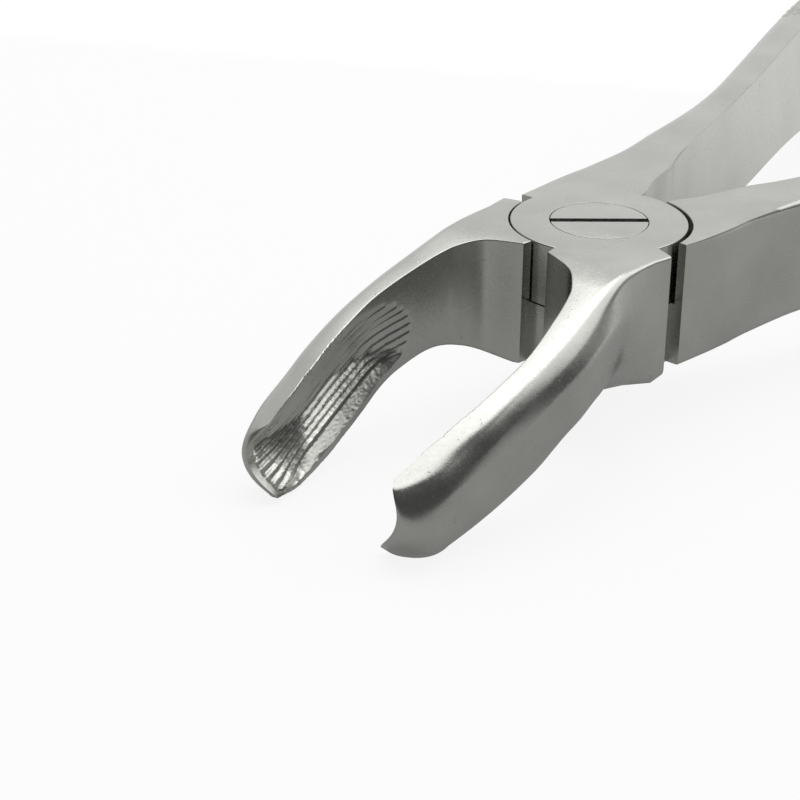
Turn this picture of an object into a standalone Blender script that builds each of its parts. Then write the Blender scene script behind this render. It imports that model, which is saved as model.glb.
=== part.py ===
"""Tooth extraction forceps, English pattern, with hawk-bill beaks and a screwed lap joint.

Two forged halves cross at a round lap joint and turn on one slotted screw.
X runs forward to the beak tips, Y to the left, Z up along the pivot.
The origin lies on the pivot, at the joint's underside.
Each half is drawn in its closed place, with its beak at +Y and its handle at -Y.
It is then mirrored if it is the lower half, and turned about the pivot by half the opening.
"""
import math

import bmesh
import bpy
import numpy as np
from mathutils import Vector

# Joint
JOINT_RADIUS = 0.0073
JOINT_THICKNESS = 0.0106
CLEARANCE = 0.0003
OPENING = math.radians(15.0)
CLOSED_GAP = 0.0003
SHOULDER_STEP = 0.0010
SHOULDER_WIDTH = 0.0022
HANDLE_SHOULDER = 0.0011
EDGE_RADIUS = 0.00015
ROOT_ROUNDING = 0.0003
SIDE_ROUNDING = 0.0040
SMOOTH_ANGLE = math.radians(28.0)

# Angles at the pivot of the corners beside the round plate: the upper half's beak and the
# lower half's handle meet on the left side, the other two on the right side
LEFT_BEAK_ANGLE = math.radians(75.4)
LEFT_HANDLE_ANGLE = math.radians(103.5)
RIGHT_BEAK_ANGLE = math.radians(80.2)
RIGHT_HANDLE_ANGLE = math.radians(100.0)

# Screw
HEAD_RADIUS = 0.00403
HEAD_DEPTH = 0.0022
SHANK_RADIUS = 0.0026
SLOT_WIDTH = 0.0008
SLOT_DEPTH = 0.0010
SLOT_ANGLE = math.radians(-46.0)

# Beak
BEAK_REACH = 0.0321
BEAK_SPREAD = 0.00545
BEAK_DROP = 0.0095
BEAK_SLOPE = 0.30
BEAK_ONSET = 0.0040
TIP_OFFSET = 0.0022
TIP_SHOULDER = 0.0005
NOSE_LENGTH = 0.0025
END_EDGE = 0.0003
BROW_ROUNDING = 0.0015
FOOT_ROUNDING = 0.0040
LOW_EDGE_ROUNDING = 0.0003
CROTCH_LENGTH = 0.0027
CROTCH_DEPTH = 0.0039
HOLLOW = 0.0013
END_HOLLOW = 0.0017
HOLLOW_SKEW = 1.35
FLUTES = 9
FLUTE_DEPTH = 0.00028
FLUTE_BEGIN = 0.0100
FLUTE_ARC = 0.0030
FLUTE_END = 0.0007
BEAK_INNER_PLACES = [k / (2 * FLUTES + 2) for k in range(1, 2 * FLUTES + 2)]

# Handle
HANDLE_REACH = 0.136
HANDLE_BOW = 0.0167
GRIP_HEIGHT = 0.0130
GRIP_BULGE = 0.0012
GRIP_HOLLOW = 0.0012
GRIP_ROUNDING = 0.0016
TAIL_DROP = 0.0050
TAIL_LENGTH = 0.0060
TAIL_ROUNDING = 0.82
TAIL_THINNING = 0.0007
HANDLE_INNER_PLACES = (0.2, 0.4, 0.6, 0.8, 0.92)

# Curves of the beak. The first value is the place between the plate's rim, 0, and the tip, 1.
# The second is a distance from the middle plane, or for the lower edge a height.
BEAK_INNER = (
    (0.20, 0.0047), (0.32, 0.0052), (0.47, BEAK_SPREAD), (0.625, 0.0049), (0.80, 0.0037), (1.0, TIP_OFFSET))
BEAK_TUCK = ((0.0, 0.0), (0.30, 0.0003), (0.57, 0.0008), (1.0, 0.0010))
BEAK_LOWER_EDGE = (
    (0.05, 0.0), (0.157, 0.0010), (0.238, 0.00125), (0.403, 0.0002), (0.565, -0.0020),
    (0.718, -0.0037), (0.875, -0.0049), (1.0, -0.0058))
BEAK_FOOT_RISE = ((0.50, 0.0), (0.72, -0.0003), (0.88, -0.0002), (1.0, 0.0008))
BEAK_TOP_CORNER = (
    (-0.15, 0.0083), (0.09, 0.0076), (0.35, 0.0077), (0.51, 0.0076), (0.71, 0.0070), (0.875, 0.0056), (1.0, 0.0038))
BEAK_SIDE = (
    (-0.29, 0.0085), (0.07, 0.0087), (0.19, 0.0090), (0.35, 0.0093), (0.51, 0.0088), (0.71, 0.0076),
    (0.875, 0.0066), (1.0, 0.0056))
BEAK_LOW_CORNER = (
    (-0.15, 0.0088), (-0.10, 0.0086), (-0.01, 0.0071), (0.07, 0.0067), (0.17, 0.0077), (0.25, 0.0083),
    (0.35, 0.0085), (0.51, 0.0080), (0.71, 0.0069), (0.875, 0.0060), (1.0, 0.0050))

# How far the tip's end stands forward of its top edge, by the level between its lower and upper edge
TIP_FORWARD = (
    (0.0, 0.0001), (0.07, 0.0004), (0.15, 0.00075), (0.24, 0.00105), (0.40, 0.00135), (0.55, 0.00145),
    (0.70, 0.00138), (0.83, 0.0012), (0.93, 0.0008), (1.0, 0.0))

# Curves of the handle. The first value is the place between the plate's rim, 0, and the tail, 1.
HANDLE_INNER = (
    (-0.057, 0.00015), (0.005, 0.0003), (0.031, 0.0012), (0.06, 0.0017), (0.088, 0.0027), (0.158, 0.0042),
    (0.21, 0.0054), (0.271, 0.0068), (0.331, 0.0084), (0.39, 0.0099), (0.487, 0.0119), (0.60, 0.0141),
    (0.72, 0.0159), (0.80, HANDLE_BOW), (0.88, 0.0166), (1.0, 0.0154))
HANDLE_OUTER = (
    (-0.057, 0.0084), (-0.004, 0.0080), (0.028, 0.0075), (0.067, 0.0073), (0.116, 0.0079), (0.168, 0.0085),
    (0.226, 0.0094), (0.304, 0.0113), (0.39, 0.0136), (0.468, 0.0157), (0.60, 0.0184), (0.72, 0.0202),
    (0.80, 0.0210), (0.88, 0.0208), (1.0, 0.0194))


def through(knots, x):
    """Value at x of a smooth curve through the knots, with no overshoot between them or past its ends."""
    xs = np.array([knot[0] for knot in knots])
    ys = np.array([knot[1] for knot in knots])
    run = np.diff(xs)
    rise = np.diff(ys) / run
    slope = np.zeros(len(xs))
    slope[0] = rise[0]
    slope[-1] = rise[-1]
    for i in range(1, len(xs) - 1):
        if rise[i - 1] * rise[i] > 0:
            before = 2 * run[i] + run[i - 1]
            after = run[i] + 2 * run[i - 1]
            slope[i] = (before + after) / (before / rise[i - 1] + after / rise[i])
    x = float(np.clip(x, xs[0], xs[-1]))
    i = int(np.clip(np.searchsorted(xs, x) - 1, 0, len(run) - 1))
    t = (x - xs[i]) / run[i]
    start = (1 + 2 * t) * (1 - t) ** 2 * ys[i] + t * (1 - t) ** 2 * run[i] * slope[i]
    end = t * t * (3 - 2 * t) * ys[i + 1] + t * t * (t - 1) * run[i] * slope[i + 1]
    return float(start + end)


def ease(value, low, high):
    """0 up to low, 1 from high, smooth between."""
    t = min(max((value - low) / (high - low), 0.0), 1.0)
    return t * t * (3 - 2 * t)


def rounded(before, corner, after, cut, steps):
    """Points of a rounded corner: a quadratic arc that leaves both sides at the cut."""
    to_before = before - corner
    to_after = after - corner
    start = corner + to_before * min(cut / to_before.length, 0.49)
    end = corner + to_after * min(cut / to_after.length, 0.49)
    points = []
    for k in range(steps + 1):
        t = k / steps
        points.append(start * (1 - t) ** 2 + corner * 2 * t * (1 - t) + end * t * t)
    return points


def section(corners, cuts, inner_face):
    """A closed section: five rounded corners, then the inner face from its lower to its upper edge.

    The inner face is a list of (level, depth): the level is 0 at its lower edge and 1 at its upper edge.
    """
    top_in, top_out, side, low_out, low_in = corners
    points = []
    points += rounded(low_in, top_in, top_out, cuts[0], 2)
    points += rounded(top_in, top_out, side, cuts[1], 5)
    points += rounded(top_out, side, low_out, cuts[2], 4)
    points += rounded(side, low_out, low_in, cuts[3], 5)
    points += rounded(low_out, low_in, top_in, cuts[4], 2)
    chord = top_in - low_in
    across = Vector((0, 1, 0)) * math.copysign(1.0, side.y)
    across = (across - chord * across.dot(chord) / chord.length_squared).normalized()
    for level, depth in inner_face:
        points.append(low_in + chord * level + across * depth)
    return points


def level_of(point, corners):
    """Level of a point between the inner face's lower edge, 0, and its upper edge, 1."""
    low_in = corners[4]
    chord = corners[0] - low_in
    return (point - low_in).dot(chord) / chord.length_squared


def hollowed(level, hollow):
    """Depth of the beak's hollow below the chord of its inner face, deepest a little above the middle."""
    skewed = level ** HOLLOW_SKEW
    return hollow * 4 * skewed * (1 - skewed)


def pinched(point, corners, hollow, fullness):
    """Move an outer point towards the inner face, down to a thin edge where the fullness is 0."""
    low_in = corners[4]
    point.z += max(low_in.z - point.z, 0.0) * (1 - fullness) ** 2
    level = min(max(level_of(point, corners), 0.0), 1.0)
    inner_y = low_in.y + (corners[0].y - low_in.y) * level + hollowed(level, hollow)
    point.y = inner_y + END_EDGE * (1 - fullness) + max(point.y - inner_y, 0.0) * fullness


def cap(bm, row, inner_count):
    """Close an end with a strip of triangles between its outer and inner chains."""
    outer = row[:-inner_count]
    inner = [outer[0]] + row[:-inner_count - 1:-1] + [outer[-1]]
    bm.faces.new((outer[0], outer[1], inner[1]))
    i = j = 1
    while i < len(outer) - 2 or j < len(inner) - 2:
        outer_next = outer[i + 1]
        inner_next = inner[j + 1]
        if j == len(inner) - 2 or (i < len(outer) - 2 and outer_next.co.z >= inner_next.co.z):
            bm.faces.new((outer[i], inner[j], outer_next))
            i += 1
        else:
            bm.faces.new((outer[i], inner[j], inner_next))
            j += 1
    bm.faces.new((outer[i], inner[j], outer[-1]))


def loft(rings, inner_count):
    """Closed skin through rings of equal length."""
    bm = bmesh.new()
    rows = [[bm.verts.new(point) for point in points] for points in rings]
    for row, following in zip(rows, rows[1:]):
        for i in range(len(row)):
            j = (i + 1) % len(row)
            bm.faces.new((row[i], row[j], following[j], following[i]))
    cap(bm, rows[0], inner_count)
    cap(bm, rows[-1], inner_count)
    bmesh.ops.recalc_face_normals(bm, faces=bm.faces)
    if bm.calc_volume(signed=True) < 0:
        bmesh.ops.reverse_faces(bm, faces=bm.faces)
    return bm


def shoulder_section(inside, outside, cuts, levels):
    """Upright end section of a beak or handle beside the plate."""
    top = Vector((0, 0, JOINT_THICKNESS))
    corners = (inside + top, outside + top, outside + top / 2, outside.copy(), inside.copy())
    return section(corners, cuts, [(level, 0.0) for level in levels])


def plate_point(angle, radius, side):
    return Vector((radius * math.cos(angle), side * radius * math.sin(angle), 0))


def beak_top(x):
    """Height of the beak's upper edge: level at the joint, then bending down to the tip."""
    run = max(x - JOINT_RADIUS, 0.0)
    onset = min(run, BEAK_ONSET)
    whole = BEAK_REACH - JOINT_RADIUS
    bend = (BEAK_DROP - BEAK_SLOPE * (whole - BEAK_ONSET / 2)) / whole ** 2
    return JOINT_THICKNESS - BEAK_SLOPE * (run - onset + onset ** 2 / (2 * BEAK_ONSET)) - bend * run ** 2


def beak_inner(x):
    """Distance of the beak's inner face from the middle plane, at its upper edge."""
    root = JOINT_RADIUS + SHOULDER_STEP
    length = BEAK_REACH - JOINT_RADIUS
    if x <= root:
        return CLOSED_GAP / 2
    knots = [(root, CLOSED_GAP / 2), (root + 0.6 * CROTCH_LENGTH, 0.82 * CROTCH_DEPTH)]
    knots.append((root + CROTCH_LENGTH, CROTCH_DEPTH + CLOSED_GAP / 2))
    knots += [(JOINT_RADIUS + place * length, offset) for place, offset in BEAK_INNER]
    return through(knots, x)


def fluted_face(x, hollow):
    """Levels and depths of a beak's inner face: the hollow, with flutes cut along it."""
    face = []
    for k, level in enumerate(BEAK_INNER_PLACES, 1):
        depth = hollowed(level, hollow)
        begin = JOINT_RADIUS + FLUTE_BEGIN + FLUTE_ARC * (2 * level - 1) ** 2
        if k % 2 == 0 and begin < x < BEAK_REACH - FLUTE_END:
            depth += FLUTE_DEPTH
        face.append((level, depth))
    return face


def beak_rings(angle):
    """Sections of a beak, from the shoulder beside the joint to the tip."""
    length = BEAK_REACH - JOINT_RADIUS
    root = JOINT_RADIUS + SHOULDER_STEP
    inside = plate_point(angle, 0.6 * JOINT_RADIUS, 1)
    outside = plate_point(angle, JOINT_RADIUS, 1) + plate_point(math.radians(45), SHOULDER_WIDTH, 1)
    rings = [shoulder_section(inside, outside, (EDGE_RADIUS, 0.0005, 0.002, 0.0009, EDGE_RADIUS), BEAK_INNER_PLACES)]
    stations = [0.68 * JOINT_RADIUS, 0.93 * JOINT_RADIUS]
    stations += list(root + CROTCH_LENGTH * np.array([0.0, 0.2, 0.4, 0.6, 0.8, 1.0, 1.3, 1.7]))
    nose = BEAK_REACH - NOSE_LENGTH
    stations += list(np.linspace(stations[-1], nose, 15)[1:])
    stations += list(nose + NOSE_LENGTH * np.array([0.33, 0.6, 0.8, 0.93, 1.0]))
    for x in stations:
        place = (x - JOINT_RADIUS) / length
        y_in = beak_inner(x)
        z_top = beak_top(x)
        z_low = through(BEAK_LOWER_EDGE, place)
        y_low = y_in - through(BEAK_TUCK, place)
        closing = min(max((x - nose) / NOSE_LENGTH, 0.0), 1.0)
        hollow = HOLLOW * ease(place, 0.23, 0.60) + (END_HOLLOW - HOLLOW) * ease(place, 0.80, 1.0)
        z_shoulder = z_top - TIP_SHOULDER * ease(place, 0.55, 1.0)
        corners = (
            Vector((x, y_in, z_top)),
            Vector((x, through(BEAK_TOP_CORNER, place), z_shoulder)),
            Vector((x, through(BEAK_SIDE, place), (z_top + z_low) / 2)),
            Vector((x, through(BEAK_LOW_CORNER, place), z_low)),
            Vector((x, y_low, z_low + through(BEAK_FOOT_RISE, place))))
        soft = ease(place, -0.13, 0.35)
        brow = ROOT_ROUNDING + BROW_ROUNDING * soft
        foot = 2 * ROOT_ROUNDING + FOOT_ROUNDING * soft * (1 - 0.8 * ease(place, 0.70, 0.95))
        low_edge = EDGE_RADIUS + LOW_EDGE_ROUNDING * ease(place, 0.80, 1.0)
        cuts = (EDGE_RADIUS, brow, SIDE_ROUNDING, foot, low_edge)
        ring = section(corners, cuts, fluted_face(x, hollow))
        forward = ease(place, 0.78, 1.0)
        for point in ring[:-len(BEAK_INNER_PLACES)]:
            pinched(point, corners, hollow, math.sqrt(1 - closing ** 2))
        for point in ring:
            point.x += forward * through(TIP_FORWARD, level_of(point, corners))
        rings.append(ring)
    return rings


def handle_rings(angle):
    """Sections of a handle, from the shoulder beside the joint to the tail."""
    length = HANDLE_REACH - JOINT_RADIUS
    inside = plate_point(angle, 0.6 * JOINT_RADIUS, -1)
    outside = plate_point(angle, JOINT_RADIUS, -1) - Vector((0, HANDLE_SHOULDER, 0))
    rings = [shoulder_section(inside, outside, (EDGE_RADIUS,) * 5, HANDLE_INNER_PLACES)]
    stations = list(JOINT_RADIUS * np.array([0.5, 0.8, 1.08, 1.25, 1.5, 1.8]))
    stations += list(np.linspace(stations[-1], HANDLE_REACH - TAIL_LENGTH, 22)[1:])
    stations += list(HANDLE_REACH - TAIL_LENGTH * np.array([0.6, 0.3, 0.12, 0.0]))
    for x in stations:
        place = (x - JOINT_RADIUS) / length
        height = JOINT_THICKNESS + (GRIP_HEIGHT - JOINT_THICKNESS) * ease(place, 0.17, 0.56)
        tail = max((x - HANDLE_REACH + TAIL_LENGTH) / TAIL_LENGTH, 0.0)
        height *= math.sqrt(1 - TAIL_ROUNDING * tail ** 2)
        z_middle = JOINT_THICKNESS / 2 - TAIL_DROP * max((place - 0.33) / 0.67, 0.0) ** 2
        thinning = TAIL_THINNING * tail ** 2
        y_in = -through(HANDLE_INNER, place) - thinning
        y_out = -through(HANDLE_OUTER, place) + thinning
        bulge = EDGE_RADIUS + (GRIP_BULGE - EDGE_RADIUS) * ease(place, 0.17, 0.40)
        corners = (
            Vector((-x, y_in, z_middle + height / 2)),
            Vector((-x, y_out, z_middle + height / 2)),
            Vector((-x, y_out - bulge, z_middle)),
            Vector((-x, y_out, z_middle - height / 2)),
            Vector((-x, y_in, z_middle - height / 2)))
        soft = ease(place, 0.0, 0.22)
        rounding = ROOT_ROUNDING + GRIP_ROUNDING * soft
        cuts = (EDGE_RADIUS, rounding, SIDE_ROUNDING, rounding, EDGE_RADIUS)
        hollow = GRIP_HOLLOW * ease(place, 0.05, 0.20) * (1 - ease(place, 0.88, 0.98))
        face = [(level, hollow * level * ease(1 - level, 0.0, 0.1)) for level in HANDLE_INNER_PLACES]
        rings.append(section(corners, cuts, face))
    return rings


def mesh_object(name, bm, collection):
    mesh = bpy.data.meshes.new(name)
    bm.to_mesh(mesh)
    bm.free()
    obj = bpy.data.objects.new(name, mesh)
    collection.objects.link(obj)
    return obj


def cylinder(name, radius, low, high, collection, segments=96):
    bm = bmesh.new()
    bmesh.ops.create_cone(
        bm, cap_ends=True, segments=segments, radius1=radius, radius2=radius, depth=high - low)
    bmesh.ops.translate(bm, verts=bm.verts, vec=(0, 0, (low + high) / 2))
    return mesh_object(name, bm, collection)


def as_tool(obj, turn=0.0):
    """Hide a shape that only cuts or joins another, and turn it about the pivot."""
    obj.hide_render = True
    obj.display_type = "WIRE"
    obj.rotation_euler.z = turn
    return obj


def combine(target, operand, operation):
    modifier = target.modifiers.new(operand.name, "BOOLEAN")
    modifier.operation = operation
    modifier.object = operand
    modifier.solver = "EXACT"


def steel(name, colour, roughness):
    made = bpy.data.materials.new(name)
    made.use_nodes = True
    shader = made.node_tree.nodes["Principled BSDF"]
    shader.inputs["Base Color"].default_value = (*colour, 1.0)
    shader.inputs["Metallic"].default_value = 1.0
    shader.inputs["Roughness"].default_value = roughness
    return made


def forged_half(name, side, beak_angle, handle_angle, parts, tools):
    """One half with its beak, half of the lap joint and handle. side is 1 for the upper half, -1 for the lower."""
    def placed(rings):
        return [[Vector((point.x, side * point.y, point.z)) for point in ring] for ring in rings]

    parting = JOINT_THICKNESS / 2 + side * CLEARANCE / 2
    beyond = JOINT_THICKNESS / 2
    turn = side * OPENING / 2
    body = mesh_object(name, loft(placed(beak_rings(beak_angle)), len(BEAK_INNER_PLACES)), parts)
    body.rotation_euler.z = turn
    grip = loft(placed(handle_rings(handle_angle)), len(HANDLE_INNER_PLACES))
    handle = as_tool(mesh_object(name + "_handle", grip, tools), turn)
    if side > 0:
        plate_span = (parting, JOINT_THICKNESS)
        recess_span = (-beyond, parting)
    else:
        plate_span = (0.0, parting)
        recess_span = (parting, JOINT_THICKNESS + beyond)
    recess = as_tool(cylinder(name + "_recess", JOINT_RADIUS + CLEARANCE, *recess_span, tools), turn)
    plate = as_tool(cylinder(name + "_plate", JOINT_RADIUS, *plate_span, tools), turn)
    bore_span = (-beyond, JOINT_THICKNESS + beyond)
    bore = as_tool(cylinder(name + "_bore", SHANK_RADIUS + CLEARANCE, *bore_span, tools, 48))
    combine(body, handle, "UNION")
    combine(body, recess, "DIFFERENCE")
    combine(body, plate, "UNION")
    combine(body, bore, "DIFFERENCE")
    if side > 0:
        seat_span = (JOINT_THICKNESS - HEAD_DEPTH - CLEARANCE, JOINT_THICKNESS + beyond)
        seat = as_tool(cylinder(name + "_seat", HEAD_RADIUS + CLEARANCE, *seat_span, tools, 64))
        combine(body, seat, "DIFFERENCE")
    body.data.materials.append(steel(name + "_steel", (0.55, 0.55, 0.53), 0.35))


def pivot_screw(parts, tools):
    """Slotted screw, flush with both faces of the joint."""
    head_floor = JOINT_THICKNESS - HEAD_DEPTH
    body = cylinder("pivot_screw", HEAD_RADIUS, head_floor, JOINT_THICKNESS, parts, 64)
    shank = as_tool(cylinder("screw_shank", SHANK_RADIUS, 0.0, head_floor + HEAD_DEPTH / 2, tools, 48))
    combine(body, shank, "UNION")
    bm = bmesh.new()
    bmesh.ops.create_cube(bm, size=1.0)
    bmesh.ops.scale(bm, verts=bm.verts, vec=(3 * HEAD_RADIUS, SLOT_WIDTH, 2 * SLOT_DEPTH))
    bmesh.ops.translate(bm, verts=bm.verts, vec=(0, 0, JOINT_THICKNESS))
    slot = as_tool(mesh_object("screw_slot", bm, tools), SLOT_ANGLE)
    combine(body, slot, "DIFFERENCE")
    body.data.materials.append(steel("screw_steel", (0.55, 0.55, 0.53), 0.30))


def settle(obj, sharp_angle):
    """Fix an object's joints and cuts in its mesh, and shade it smooth between its edges."""
    bpy.context.view_layer.update()
    evaluated = obj.evaluated_get(bpy.context.evaluated_depsgraph_get())
    obj.data = bpy.data.meshes.new_from_object(evaluated)
    obj.data.name = obj.name
    obj.modifiers.clear()
    obj.data.shade_smooth()
    obj.data.set_sharp_from_angle(angle=sharp_angle)


def main():
    for obj in list(bpy.data.objects):
        bpy.data.objects.remove(obj, do_unlink=True)
    parts = bpy.data.collections.new("tooth_extraction_forceps")
    tools = bpy.data.collections.new("construction")
    for collection in (parts, tools):
        bpy.context.scene.collection.children.link(collection)
    forged_half("upper_half", 1, LEFT_BEAK_ANGLE, RIGHT_HANDLE_ANGLE, parts, tools)
    forged_half("lower_half", -1, RIGHT_BEAK_ANGLE, LEFT_HANDLE_ANGLE, parts, tools)
    pivot_screw(parts, tools)
    for obj in parts.objects:
        settle(obj, SMOOTH_ANGLE)


main()
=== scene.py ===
import math

import bmesh
import bpy
import numpy as np
from mathutils import Matrix, Vector


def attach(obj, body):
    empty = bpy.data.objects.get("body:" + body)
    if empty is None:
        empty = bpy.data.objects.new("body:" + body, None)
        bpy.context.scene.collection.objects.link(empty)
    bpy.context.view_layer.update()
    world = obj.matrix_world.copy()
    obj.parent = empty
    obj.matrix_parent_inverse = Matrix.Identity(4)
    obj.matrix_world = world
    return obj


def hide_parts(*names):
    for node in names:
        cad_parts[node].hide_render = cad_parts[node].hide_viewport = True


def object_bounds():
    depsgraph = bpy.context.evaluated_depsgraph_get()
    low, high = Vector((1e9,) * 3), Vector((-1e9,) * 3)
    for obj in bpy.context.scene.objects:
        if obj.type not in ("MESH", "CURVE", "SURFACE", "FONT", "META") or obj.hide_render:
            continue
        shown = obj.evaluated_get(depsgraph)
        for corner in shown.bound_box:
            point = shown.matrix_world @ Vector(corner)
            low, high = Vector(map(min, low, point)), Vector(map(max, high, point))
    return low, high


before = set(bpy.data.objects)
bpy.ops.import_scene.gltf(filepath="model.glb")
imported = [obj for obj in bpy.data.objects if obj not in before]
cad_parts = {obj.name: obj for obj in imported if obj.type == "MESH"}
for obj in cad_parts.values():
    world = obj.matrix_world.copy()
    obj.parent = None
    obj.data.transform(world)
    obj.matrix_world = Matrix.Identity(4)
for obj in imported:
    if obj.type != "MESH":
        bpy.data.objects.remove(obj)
cad_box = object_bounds()

# Joint, in metres, with the pivot on Z and the joint's underside at Z = 0
JOINT_RADIUS = 0.0073
JOINT_THICKNESS = 0.0106
OPENING = math.radians(15.0)
CLOSED_GAP = 0.0003
SHOULDER_STEP = 0.0010
SHOULDER_WIDTH = 0.0022
SHOULDER_REACH = 0.6
SHOULDER_SIDE_ROUNDING = 0.002
SHOULDER_FOOT_ROUNDING = 0.0009
HANDLE_SHOULDER = 0.0011
LEFT_BEAK_ANGLE = math.radians(75.4)
LEFT_HANDLE_ANGLE = math.radians(103.5)
RIGHT_BEAK_ANGLE = math.radians(80.2)
RIGHT_HANDLE_ANGLE = math.radians(100.0)
RUNNING_GAP = 0.00014
WORN_GAP = 0.00020
EDGE = 0.00012
ROOT_ROUNDING = 0.0003
SIDE_ROUNDING = 0.0040
SIDE_BULGE = 0.00022
SIDE_BULGE_RISE = (0.05, 0.25)
SIDE_BULGE_FALL = 0.85
SIDE_BULGE_ONSET = 0.0010

# Screw
HEAD_RADIUS = 0.00403
HEAD_DEPTH = 0.0022
HEAD_GAP = 0.00006
SHANK_RADIUS = 0.0026
SLOT_WIDTH = 0.00075
SLOT_DEPTH = 0.0010
SLOT_ANGLE = math.radians(-46.0)

# Beak, with levels on its inner face from its lower edge, 0, to its upper edge, 1
BEAK_REACH = 0.0321
BEAK_DROP = 0.0095
BEAK_SLOPE = 0.30
BEAK_ONSET = 0.0040
BEAK_ROUNDING_GROWTH = (-0.13, 0.35)
TIP_BEGIN = 0.80
TIP_SHOULDER = 0.0005
TIP_SHOULDER_BEGIN = 0.55
TIP_FORWARD_BEGIN = 0.78
NOSE_LENGTH = 0.0025
END_EDGE = 0.00015
BROW_ROUNDING = 0.0009
FOOT_ROUNDING = 0.0040
FOOT_LOSS = 0.8
FOOT_FALL = (0.70, 0.95)
LOW_EDGE_ROUNDING = 0.0003
CROTCH_LENGTH = 0.0027
CROTCH_DEPTH = 0.0039
CROTCH_BEND = (0.6, 0.82)
END_HOLLOW = 0.0017
END_HOLLOW_SKEW = 1.35
LOWER_LAND = 0.00067
LOWER_LAND_LOSS = 0.6
LOWER_LAND_FALL = 0.70
SPOON_BEGIN = 0.01575
SPOON_LENGTH = 0.0046
SPOON_FOOT_LENGTH = 0.4
SPOON_FOOT_LEVELS = 0.14
SPOON_ARC = 0.0145
SPOON_MIDDLE = 0.42
SPOON_FLOOR = 0.18
SPOON_LEVELS = (0.62, 0.80, 0.97)
SPOON_DEPTHS = (0.0, 0.00048, 0.00062, 0.00068, 0.00042, 0.0)
CREASE_SLANT = 0.08
CREASE_LENGTH = 0.0028
LEAST_FOOT = 0.02
FLUTE_LEVELS = (0.20, 0.305, 0.395, 0.485, 0.583, 0.675, 0.755, 0.855)
FLUTE_DEPTH = 0.00027
FLUTE_RAMP = 0.028
FLUTE_DELAY = (0.0011, 0.019)
FLUTE_GROWTH = 0.0012
FLUTE_START_RAMP = 0.022
FLUTE_START = 0.0004
FLUTE_START_SHARE = 0.25
LEAST_WALL = 0.001
FLUTE_LAST_WALL = 0.04
FLUTE_END = 0.0009
FLUTE_FADE = 0.0003
FLUTE_WEAR = 0.7
FLUTE_WORN_LEVELS = (0.54, 0.62)
FLUTE_WORN_RUN = (0.0212, 0.0235)
GRAIN_DEPTH = 0.000011
GRAIN_LENGTH = 0.0020
GRAIN_ONSET = 0.02
GRAIN_TOP_FADE = (0.35, 0.55)
NOTCH_DEPTH = 0.00010
NOTCH_PITCH = 0.00057
NOTCH_WAVES = (0.00031, 0.00019, 0.00043)
NOTCH_SWAYS = (0.4, 0.3)
NOTCH_UNEVENNESS = 0.35
NOTCH_BEGIN = 0.0236
NOTCH_ONSET = 0.001
NOTCH_REACH = 0.0013
NOTCH_FALL = 0.0003
NOTCH_END = (0.0014, 0.0020)
NOTCH_TOP_LAND = 0.0008
NOTCH_LOW_LAND = (0.0009, 0.0006)
NOTCH_LOW_SHARE = 0.6

# Handle
HANDLE_REACH = 0.136
GRIP_HEIGHT = 0.0130
GRIP_GROWTH = (0.17, 0.56)
GRIP_BULGE = 0.0012
GRIP_BULGE_GROWTH = (0.17, 0.40)
GRIP_HOLLOW = 0.0013
GRIP_HOLLOW_RISE = (0.04, 0.20)
GRIP_HOLLOW_FALL = (0.88, 0.98)
GRIP_HOLLOW_LIP = 0.08
GRIP_HOLLOW_SKEW = 0.8
GRIP_ROUNDING = 0.0016
GRIP_ROUNDING_GROWTH = 0.22
GRIP_COUNTS = (20, 56, 20)
TAIL_DROP = 0.0050
TAIL_DROP_BEGIN = 0.33
TAIL_DROP_LENGTH = 0.67
TAIL_LENGTH = 0.0060
TAIL_ROUNDING = 0.82
TAIL_THINNING = 0.0007
KNURL_PITCH = 0.00120
KNURL_STRETCH = 1.52
KNURL_SLANT = 1.15
KNURL_FLANK = 1.5
KNURL_DEPTH = 0.00022
KNURL_ARCH = 0.9
KNURL_FADE = 0.0004
KNURL_WRAP = 0.0022
KNURL_MARGIN = 0.001
KNURL_BEGIN = 0.054
KNURL_END = 0.131

# Curves of the beak: the place between the plate's rim, 0, and the tip, 1, with a distance or a height
BEAK_INNER = (
    (0.20, 0.0047), (0.32, 0.0052), (0.47, 0.00545), (0.625, 0.0049), (0.80, 0.0037), (1.0, 0.0022))
BEAK_TUCK = ((0.0, 0.0), (0.30, 0.0003), (0.57, 0.0008), (1.0, 0.0010))
BEAK_LOWER_EDGE = (
    (0.05, 0.0), (0.157, 0.0010), (0.238, 0.00125), (0.403, 0.0002), (0.565, -0.0020),
    (0.718, -0.0037), (0.875, -0.0049), (1.0, -0.0058))
BEAK_FOOT_RISE = ((0.50, 0.0), (0.72, -0.0003), (0.88, -0.0002), (1.0, 0.0008))
BEAK_TOP_CORNER = (
    (-0.15, 0.0083), (0.09, 0.0076), (0.35, 0.0076), (0.51, 0.00745), (0.71, 0.0068), (0.875, 0.0054),
    (1.0, 0.0037))
BEAK_SIDE = (
    (-0.29, 0.0085), (0.07, 0.0087), (0.19, 0.0090), (0.35, 0.0093), (0.51, 0.0088), (0.71, 0.0076),
    (0.875, 0.0066), (1.0, 0.0056))
BEAK_LOW_CORNER = (
    (-0.15, 0.0088), (-0.10, 0.0086), (-0.01, 0.0071), (0.07, 0.0067), (0.17, 0.0077), (0.25, 0.0083),
    (0.35, 0.0085), (0.51, 0.0080), (0.71, 0.0069), (0.875, 0.0060), (1.0, 0.0050))

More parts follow.
